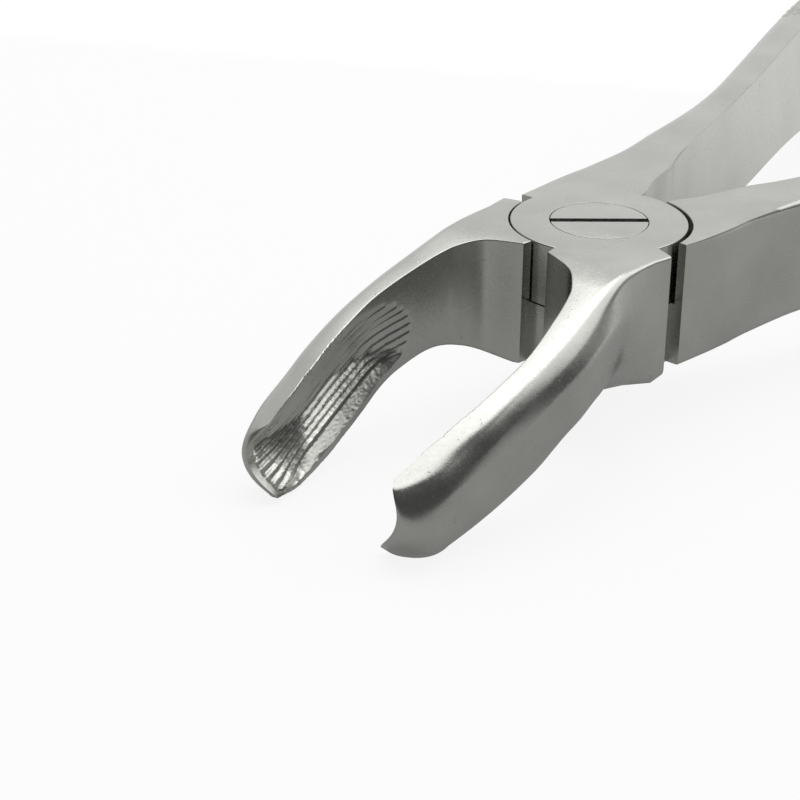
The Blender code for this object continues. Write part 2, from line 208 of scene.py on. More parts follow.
# How far the tip's end stands forward of its top edge, and how far the flutes rise above their level
# in the middle of the beak, by the distance forward of the pivot
TIP_FORWARD = (
    (0.0, 0.0001), (0.07, 0.0004), (0.15, 0.00075), (0.24, 0.00105), (0.40, 0.00135), (0.55, 0.00145),
    (0.70, 0.00138), (0.83, 0.0012), (0.93, 0.0008), (1.0, 0.0))
FLUTE_RISE = (
    (0.0156, -0.045), (0.0185, -0.025), (0.0212, 0.0), (0.0250, 0.0), (0.0274, -0.02), (0.0287, -0.09),
    (0.0302, -0.18), (0.0312, -0.22))

# Curves of the handle, likewise between the plate's rim, 0, and the tail, 1
HANDLE_INNER = (
    (-0.057, 0.00015), (0.005, 0.0003), (0.031, 0.0012), (0.06, 0.0017), (0.088, 0.0027), (0.158, 0.0042),
    (0.21, 0.0054), (0.271, 0.0068), (0.331, 0.0084), (0.39, 0.0099), (0.487, 0.0119), (0.60, 0.0141),
    (0.72, 0.0159), (0.80, 0.0167), (0.88, 0.0166), (1.0, 0.0154))
HANDLE_OUTER = (
    (-0.057, 0.0084), (-0.004, 0.0080), (0.028, 0.0075), (0.067, 0.0073), (0.116, 0.0079), (0.168, 0.0085),
    (0.226, 0.0094), (0.304, 0.0113), (0.39, 0.0136), (0.468, 0.0157), (0.60, 0.0184), (0.72, 0.0202),
    (0.80, 0.0210), (0.88, 0.0208), (1.0, 0.0194))

# Fineness of the mesh
CORNER_STEPS = (5, 16, 12, 16, 5)
BEAK_ROOT_STATIONS = (0.68, 0.93)
BEAK_STEP = 0.00011
INNER_STEPS = 116
NOSE_STEPS = 26
HANDLE_ROOT_STATIONS = (0.5, 0.8, 1.08)
NECK_BEGIN = 1.12
NECK_STEP = 0.0006
GRIP_STEP = 0.00024
TAIL_STEPS = 30
RIM_STEPS = 4
SMOOTH_ANGLE = 32.0


def slopes(knots):
    """Knot places, values and slopes of a smooth curve with no overshoot."""
    xs = np.array([knot[0] for knot in knots])
    ys = np.array([knot[1] for knot in knots])
    run = np.diff(xs)
    rise = np.diff(ys) / run
    slope = np.zeros(len(xs))
    slope[0] = rise[0]
    slope[-1] = rise[-1]
    for i in range(1, len(xs) - 1):
        if rise[i - 1] * rise[i] > 0:
            before = 2 * run[i] + run[i - 1]
            after = run[i] + 2 * run[i - 1]
            slope[i] = (before + after) / (before / rise[i - 1] + after / rise[i])
    return xs, ys, slope


def through(knots, x):
    """Value at x of the smooth curve through the knots."""
    xs, ys, slope = slopes(knots)
    x = float(np.clip(x, xs[0], xs[-1]))
    i = int(np.clip(np.searchsorted(xs, x) - 1, 0, len(xs) - 2))
    run = xs[i + 1] - xs[i]
    t = (x - xs[i]) / run
    start = (1 + 2 * t) * (1 - t) ** 2 * ys[i] + t * (1 - t) ** 2 * run * slope[i]
    end = t * t * (3 - 2 * t) * ys[i + 1] + t * t * (t - 1) * run * slope[i + 1]
    return float(start + end)


def ease(value, low, high):
    """0 up to low, 1 from high, smooth between."""
    t = np.clip((value - low) / (high - low), 0.0, 1.0)
    return t * t * (3 - 2 * t)


def rounded(before, corner, after, cut, steps):
    """Points of a rounded corner: a quadratic arc that leaves both sides at the cut."""
    to_before = before - corner
    to_after = after - corner
    start = corner + to_before * min(cut / np.linalg.norm(to_before), 0.49)
    end = corner + to_after * min(cut / np.linalg.norm(to_after), 0.49)
    t = np.linspace(0.0, 1.0, steps + 1)[:, None]
    return start * (1 - t) ** 2 + corner * 2 * t * (1 - t) + end * t * t


def outline(corners, cuts):
    """Five rounded corners of a section, from the top inner one round the outside to the low inner one."""
    arcs = []
    for k in range(5):
        arcs.append(rounded(corners[k - 1], corners[k], corners[(k + 1) % 5], cuts[k], CORNER_STEPS[k]))
    return np.vstack(arcs)


def inner_frame(corners):
    """The inner face's chord from low to top, and the direction from it into the metal."""
    low_in = corners[4]
    chord = corners[0] - low_in
    across = np.array([0.0, math.copysign(1.0, corners[2][1]), 0.0])
    across = across - chord * across.dot(chord) / chord.dot(chord)
    return low_in, chord, across / np.linalg.norm(across)


def inner_face(corners, places, depths):
    """Points at shares of the inner face's chord and depths below it."""
    low_in, chord, across = inner_frame(corners)
    return low_in + chord * places[:, None] + across * depths[:, None]


def cap(count, inner_count, first, z):
    """Triangles that close an end, between its outer and inner chains of points."""
    outer = [first + i for i in range(count - inner_count)]
    inner = [outer[0]] + [first + count - 1 - i for i in range(inner_count)] + [outer[-1]]
    faces = [(outer[0], outer[1], inner[1])]
    i = j = 1
    while i < len(outer) - 2 or j < len(inner) - 2:
        if j == len(inner) - 2 or (i < len(outer) - 2 and z[outer[i + 1]] >= z[inner[j + 1]]):
            faces.append((outer[i], inner[j], outer[i + 1]))
            i += 1
        else:
            faces.append((outer[i], inner[j], inner[j + 1]))
            j += 1
    faces.append((outer[i], inner[j], outer[-1]))
    return faces


def mesh_object(name, vertices, faces):
    """Object from a closed mesh whose faces all look outward."""
    mesh = bpy.data.meshes.new(name)
    mesh.from_pydata([tuple(v) for v in vertices], [], faces)
    bm = bmesh.new()
    bm.from_mesh(mesh)
    bmesh.ops.recalc_face_normals(bm, faces=bm.faces)
    if bm.calc_volume(signed=True) < 0:
        bmesh.ops.reverse_faces(bm, faces=bm.faces)
    bm.to_mesh(mesh)
    bm.free()
    obj = bpy.data.objects.new(name, mesh)
    bpy.context.scene.collection.objects.link(obj)
    return obj


def loft(name, rings, inner_count, side):
    """Closed skin through rings of equal length, mirrored for the lower half."""
    rings = np.array(rings)
    rings[:, :, 1] *= side
    rows, count = rings.shape[:2]
    vertices = rings.reshape(-1, 3)
    faces = []
    for r in range(rows - 1):
        for i in range(count):
            j = (i + 1) % count
            faces.append((r * count + i, r * count + j, (r + 1) * count + j, (r + 1) * count + i))
    faces += cap(count, inner_count, 0, vertices[:, 2])
    faces += cap(count, inner_count, (rows - 1) * count, vertices[:, 2])
    return mesh_object(name, vertices, faces)


def plate_point(angle, radius, side):
    """Point of the joint's underside, mirrored for the lower half."""
    return np.array([radius * math.cos(angle), side * radius * math.sin(angle), 0.0])


def shoulder_corners(inside, outside):
    """Upright section as thick as the joint, over two points of its underside."""
    top = np.array([0.0, 0.0, JOINT_THICKNESS])
    return [inside + top, outside + top, outside + top / 2, outside.copy(), inside.copy()]


def beak_top(x):
    """Height of the beak's top edge."""
    run = max(x - JOINT_RADIUS, 0.0)
    onset = min(run, BEAK_ONSET)
    whole = BEAK_REACH - JOINT_RADIUS
    bend = (BEAK_DROP - BEAK_SLOPE * (whole - BEAK_ONSET / 2)) / whole ** 2
    return JOINT_THICKNESS - BEAK_SLOPE * (run - onset + onset ** 2 / (2 * BEAK_ONSET)) - bend * run ** 2


def beak_inner(x):
    """Distance of the beak's top inner edge from the middle of the closed forceps."""
    root = JOINT_RADIUS + SHOULDER_STEP
    length = BEAK_REACH - JOINT_RADIUS
    if x <= root:
        return CLOSED_GAP / 2
    along, aside = CROTCH_BEND
    knots = [(root, CLOSED_GAP / 2), (root + along * CROTCH_LENGTH, aside * CROTCH_DEPTH)]
    knots.append((root + CROTCH_LENGTH, CROTCH_DEPTH + CLOSED_GAP / 2))
    knots += [(JOINT_RADIUS + place * length, offset) for place, offset in BEAK_INNER]
    return through(knots, x)


BEAK_PLACES = np.linspace(0.0, 1.0, INNER_STEPS)[1:-1]


def hollowed(level, hollow, skew):
    """Depth of the tip's hollow below the chord of its inner face; the skew sets its deepest level."""
    skewed = level ** skew
    return hollow * 4 * skewed * (1 - skewed)


def spoon_begin(level):
    """Arched start of the hollow, by the level on the inner face."""
    return SPOON_BEGIN + SPOON_ARC * (level - SPOON_MIDDLE) ** 2


def flute_depths(x, low, foot, levels):
    """Depths of the flutes alone: each a narrow ramp up to its level, then a wall down to the next one."""
    begin = spoon_begin(levels)
    delayed = begin + FLUTE_DELAY[0] + FLUTE_DELAY[1] * (np.array(FLUTE_LEVELS) - FLUTE_LEVELS[1])
    grown = ease(x, delayed, delayed + FLUTE_GROWTH)
    cut = ease(x, begin, begin + FLUTE_START) * (FLUTE_START_SHARE + (1 - FLUTE_START_SHARE) * grown)
    cut = cut * flute_ending(x)
    cut = cut * (1 - FLUTE_WEAR * ease(levels, *FLUTE_WORN_LEVELS) * ease(x, *FLUTE_WORN_RUN))
    ramp = FLUTE_START_RAMP + (FLUTE_RAMP - FLUTE_START_RAMP) * grown
    edges = [low, foot]
    shares = [0.0, cut[0]]
    for level, share, width in zip(levels[1:], cut[1:], ramp[1:]):
        edges += [level - width - LEAST_WALL, level]
        shares += [0.0, share]
    edges.append(levels[-1] + FLUTE_LAST_WALL)
    shares.append(0.0)
    return FLUTE_DEPTH * np.interp(BEAK_PLACES, edges, shares)


def flute_ending(x):
    """1 along the flutes, 0 past their end at the tip."""
    end = BEAK_REACH - FLUTE_END
    return 1 - ease(x, end, end + FLUTE_FADE)


def beak_depths(x, place, height, grain):
    """Depths of the inner face: a hollow above a flat land, with grained flutes along it."""
    rise = through(FLUTE_RISE, x)
    low = LOWER_LAND * (1 - LOWER_LAND_LOSS * ease(place, LOWER_LAND_FALL, 1.0)) / height
    low += CREASE_SLANT * (1 - ease(x, SPOON_BEGIN, SPOON_BEGIN + CREASE_LENGTH))
    foot = max(FLUTE_LEVELS[0] + rise, low + LEAST_FOOT)
    knots = (low, foot, foot + SPOON_FLOOR) + SPOON_LEVELS
    lengths = SPOON_FOOT_LENGTH + (1 - SPOON_FOOT_LENGTH) * ease(BEAK_PLACES, foot, foot + SPOON_FOOT_LEVELS)
    begin = spoon_begin(BEAK_PLACES)
    depths = ease(x, begin, begin + SPOON_LENGTH * lengths) * np.interp(BEAK_PLACES, knots, SPOON_DEPTHS)
    tip = ease(place, TIP_BEGIN, 1.0)
    depths += tip * (hollowed(BEAK_PLACES, END_HOLLOW, END_HOLLOW_SKEW) - depths)
    depths += flute_depths(x, low, foot, np.array(FLUTE_LEVELS) + rise)
    grained = ease(BEAK_PLACES, low, low + GRAIN_ONSET) * ease(1 - BEAK_PLACES, *GRAIN_TOP_FADE)
    started = ease(x, SPOON_BEGIN, SPOON_BEGIN + GRAIN_LENGTH)
    return depths + GRAIN_DEPTH * grain * grained * flute_ending(x) * started


def notches(x, level, height, inward):
    """Depth of the small uneven notches on both edges of the inner face, near the tip."""
    nose = BEAK_REACH - NOSE_LENGTH
    below = (1 - level) * height
    slant = x + np.minimum(below, NOTCH_REACH)
    sways = [sway * np.sin(slant / wave) for sway, wave in zip(NOTCH_SWAYS, NOTCH_WAVES)]
    phase = slant / NOTCH_PITCH + sways[0] + sways[1]
    unevenness = 1 - NOTCH_UNEVENNESS + NOTCH_UNEVENNESS * np.sin(slant / NOTCH_WAVES[2])
    wave = (0.5 - 0.5 * np.cos(2 * math.pi * phase)) * unevenness
    begun = ease(x, NOTCH_BEGIN - NOTCH_ONSET, NOTCH_BEGIN)
    fade = begun * (1 - ease(x, nose + NOTCH_END[0], nose + NOTCH_END[1]))
    low_land = NOTCH_LOW_SHARE * ease(level * height, *NOTCH_LOW_LAND)
    land = np.maximum(low_land, ease(below, NOTCH_REACH, NOTCH_TOP_LAND))
    return NOTCH_DEPTH * wave * fade * land * np.exp(-(inward / NOTCH_FALL) ** 2)


def beak_rings(angle):
    """Sections of a beak, from the shoulder beside the joint to the tip."""
    draws = np.random.default_rng(7)
    length = BEAK_REACH - JOINT_RADIUS
    root = JOINT_RADIUS + SHOULDER_STEP
    inside = plate_point(angle, SHOULDER_REACH * JOINT_RADIUS, 1)
    outside = plate_point(angle, JOINT_RADIUS, 1) + plate_point(math.radians(45), SHOULDER_WIDTH, 1)
    corners = shoulder_corners(inside, outside)
    first = outline(corners, (EDGE, ROOT_ROUNDING, SHOULDER_SIDE_ROUNDING, SHOULDER_FOOT_ROUNDING, EDGE))
    rings = [np.vstack([first, inner_face(corners, BEAK_PLACES, 0 * BEAK_PLACES)])]
    nose = BEAK_REACH - NOSE_LENGTH
    stations = [share * JOINT_RADIUS for share in BEAK_ROOT_STATIONS]
    stations += list(np.arange(root, nose, BEAK_STEP))
    stations += list(nose + NOSE_LENGTH * np.sin(np.linspace(0.0, math.pi / 2, NOSE_STEPS)))
    for x in stations:
        place = (x - JOINT_RADIUS) / length
        y_in = beak_inner(x)
        z_top = beak_top(x)
        z_low = through(BEAK_LOWER_EDGE, place)
        y_low = y_in - through(BEAK_TUCK, place)
        closing = min(max((x - nose) / NOSE_LENGTH, 0.0), 1.0)
        fullness = math.sqrt(1 - closing ** 2)
        lowered = ease(place, TIP_SHOULDER_BEGIN, 1.0)
        corners = [
            np.array([x, y_in, z_top]),
            np.array([x, through(BEAK_TOP_CORNER, place), z_top - TIP_SHOULDER * lowered]),
            np.array([x, through(BEAK_SIDE, place), (z_top + z_low) / 2]),
            np.array([x, through(BEAK_LOW_CORNER, place), z_low]),
            np.array([x, y_low, z_low + through(BEAK_FOOT_RISE, place)])]
        soft = ease(place, *BEAK_ROUNDING_GROWTH)
        brow = ROOT_ROUNDING + BROW_ROUNDING * soft
        foot = 2 * ROOT_ROUNDING + FOOT_ROUNDING * soft * (1 - FOOT_LOSS * ease(place, *FOOT_FALL))
        low_edge = EDGE + LOW_EDGE_ROUNDING * ease(place, TIP_BEGIN, 1.0)
        cuts = (EDGE, brow, SIDE_ROUNDING, foot, low_edge)
        low_in, chord, across = inner_frame(corners)
        height = np.linalg.norm(chord)
        outside = outline(corners, cuts)
        down = np.clip((z_top - outside[:, 2]) / (0.5 * (z_top - z_low)), 0.0, 1.0)
        bulge = SIDE_BULGE * ease(place, *SIDE_BULGE_RISE) * (1 - ease(place, SIDE_BULGE_FALL, 1.0))
        clear = ease(outside[:, 1], y_in, y_in + SIDE_BULGE_ONSET)
        outside[:, 1] += bulge * np.sin(math.pi * down) ** 2 * clear
        outside[:, 2] += np.maximum(low_in[2] - outside[:, 2], 0.0) * (1 - fullness) ** 2
        level = np.clip((outside - low_in).dot(chord) / height ** 2, 0.0, 1.0)
        end_hollow = END_HOLLOW * ease(place, TIP_BEGIN, 1.0)
        inner_y = low_in[1] + (y_in - low_in[1]) * level + hollowed(level, end_hollow, END_HOLLOW_SKEW)
        wall = np.maximum(outside[:, 1] - inner_y, 0.0)
        outside[:, 1] = inner_y + END_EDGE * (1 - fullness) + wall * fullness
        depths = beak_depths(x, place, height, draws.standard_normal(len(BEAK_PLACES)))
        ring = np.vstack([outside, inner_face(corners, BEAK_PLACES, depths)])
        level = np.clip((ring - low_in).dot(chord) / height ** 2, 0.0, 1.0)
        inward = (ring - low_in).dot(across)
        forward = ease(place, TIP_FORWARD_BEGIN, 1.0)
        ring[:, 0] += forward * np.array([through(TIP_FORWARD, value) for value in level])
        if x > NOTCH_BEGIN - NOTCH_ONSET:
            ring += across * notches(x, level, height, inward)[:, None]
        rings.append(ring)
    return rings


HANDLE_PLACES = np.concatenate([np.linspace(0.0, 0.88, 12)[1:], np.linspace(0.90, 1.0, 8)[:-1]])


def resampled(points):
    """An outline with even points on each side of its outer corners, and their distances from its middle."""
    steps = np.linalg.norm(np.diff(points, axis=0), axis=1)
    along = np.concatenate([[0.0], np.cumsum(steps)])
    upper = CORNER_STEPS[0] + 1 + CORNER_STEPS[1] // 2
    lower = len(points) - 1 - upper
    marks = [0.0, along[upper], along[lower], along[-1]]
    spans = [
        np.linspace(begin, end, count, endpoint=False)
        for begin, end, count in zip(marks, marks[1:], GRIP_COUNTS)]
    even = np.concatenate(spans + [marks[-1:]])
    line = np.stack([np.interp(even, along, points[:, k]) for k in range(3)], axis=1)
    return line, even - along[-1] / 2


def knurl(x, along, edge):
    """Depth of a diamond pattern of crossed grooves, with an arched start on the outer face."""
    reach = np.clip((x - KNURL_BEGIN) * KNURL_ARCH, 0.0, edge)
    ended = ease(x, KNURL_END - KNURL_MARGIN, KNURL_END)
    inside = ease(reach - np.abs(along), 0.0, KNURL_FADE) * (1 - ended)
    crossed = []
    for direction in (-1, 1):
        phase = (x + direction * KNURL_SLANT * along) / (KNURL_PITCH * KNURL_STRETCH)
        crossed.append(1 - np.abs(2 * (phase - np.floor(phase)) - 1))
    ridge = np.minimum(np.clip(crossed[0] * KNURL_FLANK, 0, 1), np.clip(crossed[1] * KNURL_FLANK, 0, 1))
    return KNURL_DEPTH * (1 - ridge) * inside


def handle_rings(angle):
    """Sections of a handle, from the shoulder beside the joint to the tail."""
    length = HANDLE_REACH - JOINT_RADIUS
    inside = plate_point(angle, SHOULDER_REACH * JOINT_RADIUS, -1)
    outside = plate_point(angle, JOINT_RADIUS, -1) - np.array([0.0, HANDLE_SHOULDER, 0.0])
    corners = shoulder_corners(inside, outside)
    line, _ = resampled(outline(corners, (EDGE,) * 5))
    rings = [np.vstack([line, inner_face(corners, HANDLE_PLACES, 0 * HANDLE_PLACES)])]
    stations = list(JOINT_RADIUS * np.array(HANDLE_ROOT_STATIONS))
    stations += list(np.arange(NECK_BEGIN * JOINT_RADIUS, KNURL_BEGIN - KNURL_MARGIN, NECK_STEP))
    stations += list(np.arange(KNURL_BEGIN - KNURL_MARGIN, HANDLE_REACH - TAIL_LENGTH, GRIP_STEP))
    stations += list(HANDLE_REACH - TAIL_LENGTH * (1 - np.sin(np.linspace(0.0, math.pi / 2, TAIL_STEPS))))
    for x in stations:
        place = (x - JOINT_RADIUS) / length
        height = JOINT_THICKNESS + (GRIP_HEIGHT - JOINT_THICKNESS) * ease(place, *GRIP_GROWTH)
        tail = min(max((x - HANDLE_REACH + TAIL_LENGTH) / TAIL_LENGTH, 0.0), 1.0)
        height *= math.sqrt(1 - TAIL_ROUNDING * tail ** 2)
        drooped = max((place - TAIL_DROP_BEGIN) / TAIL_DROP_LENGTH, 0.0)
        z_middle = JOINT_THICKNESS / 2 - TAIL_DROP * drooped ** 2
        thinning = TAIL_THINNING * tail ** 2
        y_in = -through(HANDLE_INNER, place) - thinning
        y_out = -through(HANDLE_OUTER, place) + thinning
        bulge = EDGE + (GRIP_BULGE - EDGE) * ease(place, *GRIP_BULGE_GROWTH)
        corners = [
            np.array([-x, y_in, z_middle + height / 2]),
            np.array([-x, y_out, z_middle + height / 2]),
            np.array([-x, y_out - bulge, z_middle]),
            np.array([-x, y_out, z_middle - height / 2]),
            np.array([-x, y_in, z_middle - height / 2])]
        soft = ease(place, 0.0, GRIP_ROUNDING_GROWTH)
        rounding = ROOT_ROUNDING + GRIP_ROUNDING * soft
        cuts = (EDGE, rounding, SIDE_ROUNDING, rounding, EDGE)
        line, along = resampled(outline(corners, cuts))
        tangent = np.gradient(line, axis=0)
        normal = np.stack([0 * tangent[:, 0], tangent[:, 2], -tangent[:, 1]], axis=1)
        normal /= np.linalg.norm(normal, axis=1)[:, None]
        line = line - normal * knurl(x, along, height / 2 + KNURL_WRAP)[:, None]
        hollow = GRIP_HOLLOW * ease(place, *GRIP_HOLLOW_RISE) * (1 - ease(place, *GRIP_HOLLOW_FALL))
        under = ease(1 - HANDLE_PLACES, 0.0, GRIP_HOLLOW_LIP)
        depths = hollow * under * HANDLE_PLACES ** GRIP_HOLLOW_SKEW
        rings.append(np.vstack([line, inner_face(corners, HANDLE_PLACES, depths)]))
    return rings


def turned(name, profile, centre=(0.0, 0.0), segments=256):
    """Closed body turned about Z from a profile of (radius, height) pairs, listed from the bottom up."""
    angles = np.linspace(0.0, 2 * math.pi, segments, endpoint=False)
    vertices = []
    for radius, height in profile:
        for angle in angles:
            x = centre[0] + radius * math.cos(angle)
            y = centre[1] + radius * math.sin(angle)
            vertices.append((x, y, height))
    faces = [tuple(range(segments)), tuple(range((len(profile) - 1) * segments, len(profile) * segments))]
    for r in range(len(profile) - 1):
        for i in range(segments):
            j = (i + 1) % segments
            faces.append((r * segments + i, r * segments + j, (r + 1) * segments + j, (r + 1) * segments + i))
    return mesh_object(name, vertices, faces)


def combine(target, operand, operation):
    """Join or cut with another body for good, and remove that body."""
    modifier = target.modifiers.new(operand.name, "BOOLEAN")
    modifier.operation = operation
    modifier.object = operand
    modifier.solver = "MANIFOLD"
    bpy.context.view_layer.update()
    evaluated = target.evaluated_get(bpy.context.evaluated_depsgraph_get())
    mesh = bpy.data.meshes.new_from_object(evaluated)
    target.modifiers.clear()
    target.data = mesh
    bpy.data.objects.remove(operand, do_unlink=True)


def edge_profile(radius, low, high, edge):
    """Cylinder profile whose top rim is rounded off by edge."""
    turn = np.linspace(0.0, math.pi / 2, RIM_STEPS)
    rim = [(radius - edge + edge * math.cos(t), high - edge + edge * math.sin(t)) for t in turn]
    return [(radius, low)] + rim


def flared_profile(radius, low, rim, high, edge):
    """Cutter profile that opens out by edge where it passes the face at rim."""
    turn = np.linspace(0.0, math.pi / 2, RIM_STEPS)
    flare = [(radius + edge - edge * math.cos(t), rim - edge + edge * math.sin(t)) for t in turn]
    return [(radius, low)] + flare + [(radius + edge, high)]


def forged_half(name, side, beak_angle, handle_angle):
    """A half with its beak, handle and part of the lap joint. side is 1 for the upper half, else -1."""
    beyond = JOINT_THICKNESS / 2
    parting = JOINT_THICKNESS / 2 + side * RUNNING_GAP / 2
    body = loft(name, beak_rings(beak_angle), len(BEAK_PLACES), side)
    grip = loft(name + "_grip", handle_rings(handle_angle), len(HANDLE_PLACES), side)
    combine(body, grip, "UNION")
    recess_radius = JOINT_RADIUS + RUNNING_GAP
    if side > 0:
        recess = [(r, JOINT_THICKNESS - z) for r, z in flared_profile(
            recess_radius, parting, JOINT_THICKNESS, JOINT_THICKNESS + beyond, EDGE)]
        recess = [(r, z - (JOINT_THICKNESS - 2 * parting)) for r, z in recess][::-1]
        recess[-1] = (recess_radius, parting)
        plate = edge_profile(JOINT_RADIUS, parting, JOINT_THICKNESS, EDGE)
    else:
        recess = flared_profile(recess_radius, parting, JOINT_THICKNESS, JOINT_THICKNESS + beyond, EDGE)
        plate = [(r, parting - z) for r, z in edge_profile(JOINT_RADIUS, 0.0, parting, EDGE)][::-1]
    combine(body, turned(name + "_recess", recess), "DIFFERENCE")
    if side < 0:
        worn = turned(name + "_worn", recess, (-WORN_GAP * 0.6, WORN_GAP))
        combine(body, worn, "DIFFERENCE")
    combine(body, turned(name + "_plate", plate), "UNION")
    bore_radius = SHANK_RADIUS + HEAD_GAP
    bore = turned(name + "_bore", [(bore_radius, -beyond), (bore_radius, JOINT_THICKNESS)])
    combine(body, bore, "DIFFERENCE")
    if side > 0:
        seat = flared_profile(
            HEAD_RADIUS + HEAD_GAP, JOINT_THICKNESS - HEAD_DEPTH - HEAD_GAP, JOINT_THICKNESS,
            JOINT_THICKNESS + beyond, EDGE / 3)
        combine(body, turned(name + "_seat", seat), "DIFFERENCE")
    body.data.transform(Matrix.Rotation(side * OPENING / 2, 4, "Z"))
    return body


def pivot_screw():
    """Slotted screw, flush with both faces of the joint."""
    head_floor = JOINT_THICKNESS - HEAD_DEPTH
    profile = [(SHANK_RADIUS, 0.0), (SHANK_RADIUS, head_floor)]
    profile += edge_profile(HEAD_RADIUS, head_floor, JOINT_THICKNESS, EDGE / 2)
    body = turned("screw", profile)
    bm = bmesh.new()
    bmesh.ops.create_cube(bm, size=1.0)
    bmesh.ops.scale(bm, verts=bm.verts, vec=(3 * HEAD_RADIUS, SLOT_WIDTH, 2 * SLOT_DEPTH))
    mesh = bpy.data.meshes.new("slot")
    bm.to_mesh(mesh)
    bm.free()
    slot = bpy.data.objects.new("slot", mesh)
    bpy.context.scene.collection.objects.link(slot)
    slot.location.z = JOINT_THICKNESS
    slot.rotation_euler.z = SLOT_ANGLE
    combine(body, slot, "DIFFERENCE")
    return body


def shaded(obj, angle):
    """Smooth shading that keeps edges sharp from an angle in degrees."""
    obj.data.shade_smooth()
    obj.data.set_sharp_from_angle(angle=math.radians(angle))


class Nodes:
    """Short calls that add and link shader nodes in one material or world."""

    def __init__(self, owner):
        self.owner = owner
        owner.use_nodes = True
        self.tree = owner.node_tree
        self.shader = self.tree.nodes.get("Principled BSDF") or self.tree.nodes.get("Background")
        self.place = self.add("ShaderNodeTexCoord").outputs

    def add(self, kind, **values):
        node = self.tree.nodes.new(kind)
        for key, value in values.items():
            setattr(node, key, value)
        return node

    def link(self, source, target):
        self.tree.links.new(source, target)

    def scaled(self, vector, scale):
        node = self.add("ShaderNodeMapping")
        node.inputs["Scale"].default_value = scale
        self.link(vector, node.inputs["Vector"])
        return node.outputs["Vector"]

    def noise(self, vector, scale, detail, roughness=0.5):
        node = self.add("ShaderNodeTexNoise")
        node.inputs["Scale"].default_value = scale
        node.inputs["Detail"].default_value = detail
        node.inputs["Roughness"].default_value = roughness
        self.link(vector, node.inputs["Vector"])
        return node.outputs["Fac"]

    def ranged(self, value, low, high, to_low, to_high, kind="LINEAR"):
        node = self.add("ShaderNodeMapRange", interpolation_type=kind)
        for key, number in (("From Min", low), ("From Max", high), ("To Min", to_low), ("To Max", to_high)):
            node.inputs[key].default_value = number
        self.link(value, node.inputs["Value"])
        return node.outputs["Result"]

    def math(self, operation, first, second):
        node = self.add("ShaderNodeMath", operation=operation)
        for socket, value in zip(node.inputs, (first, second)):
            if isinstance(value, (int, float)):
                socket.default_value = value
            else:
                self.link(value, socket)
        return node.outputs["Value"]

    def mixed(self, factor, first, second):
        node = self.add("ShaderNodeMix", data_type="RGBA")
        self.link(factor, node.inputs["Factor"])
        for socket, value in ((node.inputs[6], first), (node.inputs[7], second)):
            if isinstance(value, tuple):
                socket.default_value = value
            else:
                self.link(value, socket)
        return node.outputs[2]

    def bump(self, height, strength, distance, normal=None):
        node = self.add("ShaderNodeBump")
        node.inputs["Strength"].default_value = strength
        node.inputs["Distance"].default_value = distance
        self.link(height, node.inputs["Height"])
        if normal is not None:
            self.link(normal, node.inputs["Normal"])
        return node.outputs["Normal"]


def satin_steel(name, colour, roughness):
    """Bead-blasted stainless steel with fine grain, faint clouding and small pits."""
    m = Nodes(bpy.data.materials.new(name))
    place = m.place["Object"]
    clouds = m.noise(place, 160.0, 3.0)
    grain = m.noise(place, 9000.0, 2.0, 0.6)
    fine = m.noise(place, 2600.0, 4.0, 0.6)
    pits = m.ranged(m.noise(place, 2600.0, 1.0, 0.3), 0.745, 0.80, 0.0, 1.0)
    dark = tuple(0.90 * part for part in colour) + (1.0,)
    light = tuple(min(1.0, 1.06 * part) for part in colour) + (1.0,)
    tone = m.mixed(m.ranged(clouds, 0.3, 0.7, 0.0, 1.0), dark, light)
    worn = tuple(0.72 * part for part in colour) + (1.0,)
    m.link(m.mixed(m.math("MULTIPLY", pits, 0.5), tone, worn), m.shader.inputs["Base Color"])
    m.shader.inputs["Metallic"].default_value = 1.0
    spread = m.math("ADD", m.ranged(clouds, 0.3, 0.7, -0.03, 0.03), m.ranged(fine, 0.3, 0.7, -0.03, 0.03))
    m.link(m.math("ADD", spread, roughness), m.shader.inputs["Roughness"])
    relief = m.bump(grain, 0.12, 0.00002)
    relief = m.bump(fine, 0.15, 0.00004, relief)
    m.link(m.bump(m.math("SUBTRACT", 1.0, pits), 0.3, 0.00003, relief), m.shader.inputs["Normal"])
    return m.owner


steel = satin_steel("forged_steel", (0.50, 0.50, 0.475), 0.28)
screw_steel = satin_steel("screw_steel", (0.52, 0.52, 0.50), 0.28)

upper = forged_half("upper_forging", 1, LEFT_BEAK_ANGLE, RIGHT_HANDLE_ANGLE)
lower = forged_half("lower_forging", -1, RIGHT_BEAK_ANGLE, LEFT_HANDLE_ANGLE)
screw = pivot_screw()
for piece, node, body, slot, finish in (
        (upper, "upper_half", "upper", "forged_steel", steel),
        (lower, "lower_half", "lower", "forged_steel", steel),
        (screw, "pivot_screw", "lower", "screw_steel", screw_steel)):
    shaded(piece, SMOOTH_ANGLE)
    piece.data.materials.clear()
    piece.data.materials.append(finish)
    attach(piece, body)
    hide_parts(node)

# Camera, from a perspective fit of the two mirrored halves to the photograph
AZIMUTH = 0.73774
ELEVATION = 0.453996
ROLL = 0.01496
FOCAL_PIXELS = 2202.2
PIXELS_PER_METRE = 12197.8
PIVOT_PIXEL = (599.22, 220.11)
IMAGE_PIXELS = 800
SENSOR_WIDTH = 36.0

